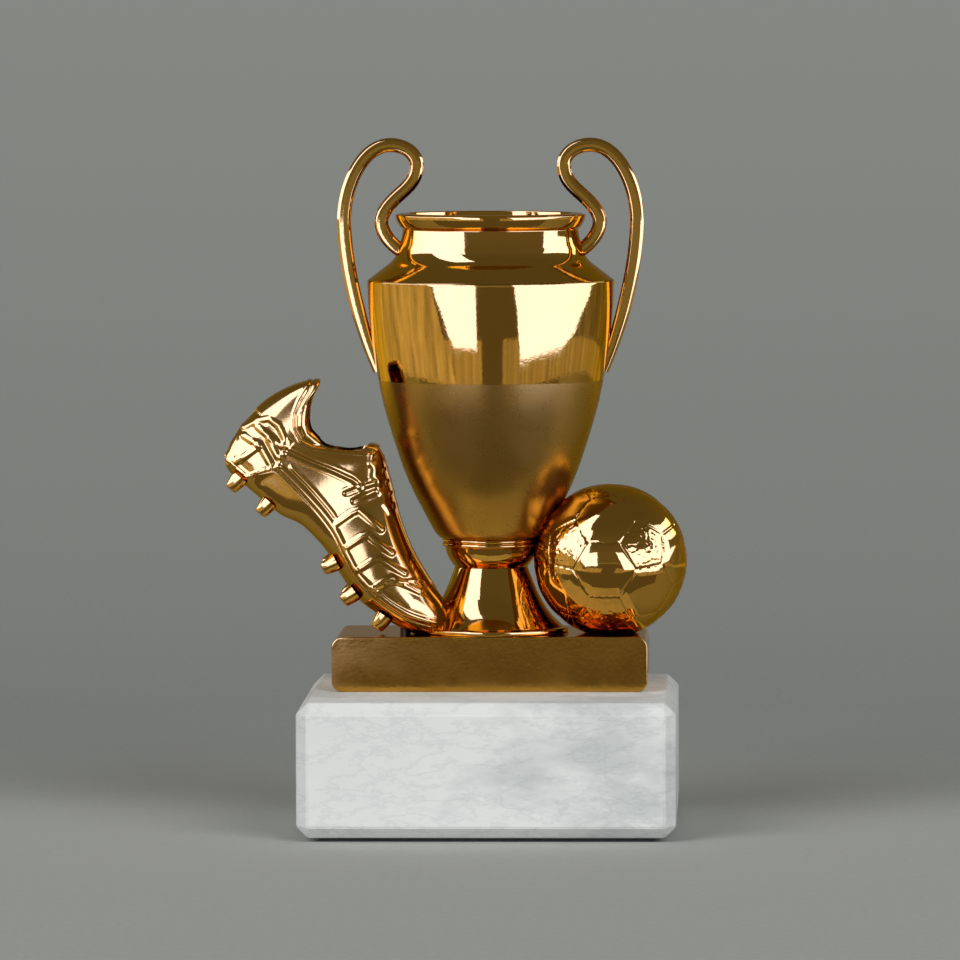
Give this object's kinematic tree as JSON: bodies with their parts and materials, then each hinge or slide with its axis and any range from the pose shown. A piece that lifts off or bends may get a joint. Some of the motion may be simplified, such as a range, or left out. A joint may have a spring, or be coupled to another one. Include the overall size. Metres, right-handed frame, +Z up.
{
  "type": "figure trophy",
  "caption": "Small football trophy: a two-handled metallised cup with a boot and a ball on a plinth, bolted to a chamfered marble block.",
  "frame": {"origin": "where the tie rod's axis meets the underside of the felt pad", "axes": "+Z up along the rod and the cup's axis; +X to the ball's side, -X to the boot's side; -Y to the front"},
  "size_m": [0.0867, 0.07, 0.1288],
  "materials": {
    "gold_metallised": "mirror-bright gold metallised moulding",
    "marble": "honed white marble with faint grey veins",
    "steel": "zinc plated",
    "felt": "dark grey felt"
  },
  "bodies": {
    "root": {"felt_pad": "felt", "marble_base": "marble", "tie_rod": "steel", "base_nut": "steel", "base_washer": "steel", "bowl_nut": "steel", "bowl_washer": "steel", "boot_screw": "steel", "ball_screw": "steel", "plinth_shell": "gold_metallised", "cup_foot": "gold_metallised", "cup_collar": "gold_metallised", "cup_bowl": "gold_metallised", "cup_neck": "gold_metallised", "handle_left": "gold_metallised", "handle_right": "gold_metallised", "ball_front_half": "gold_metallised", "ball_rear_half": "gold_metallised", "boot_left_half": "gold_metallised", "boot_right_half": "gold_metallised", "boot_outsole": "gold_metallised", "boot_tongue": "gold_metallised"}
  },
  "joints": []
}
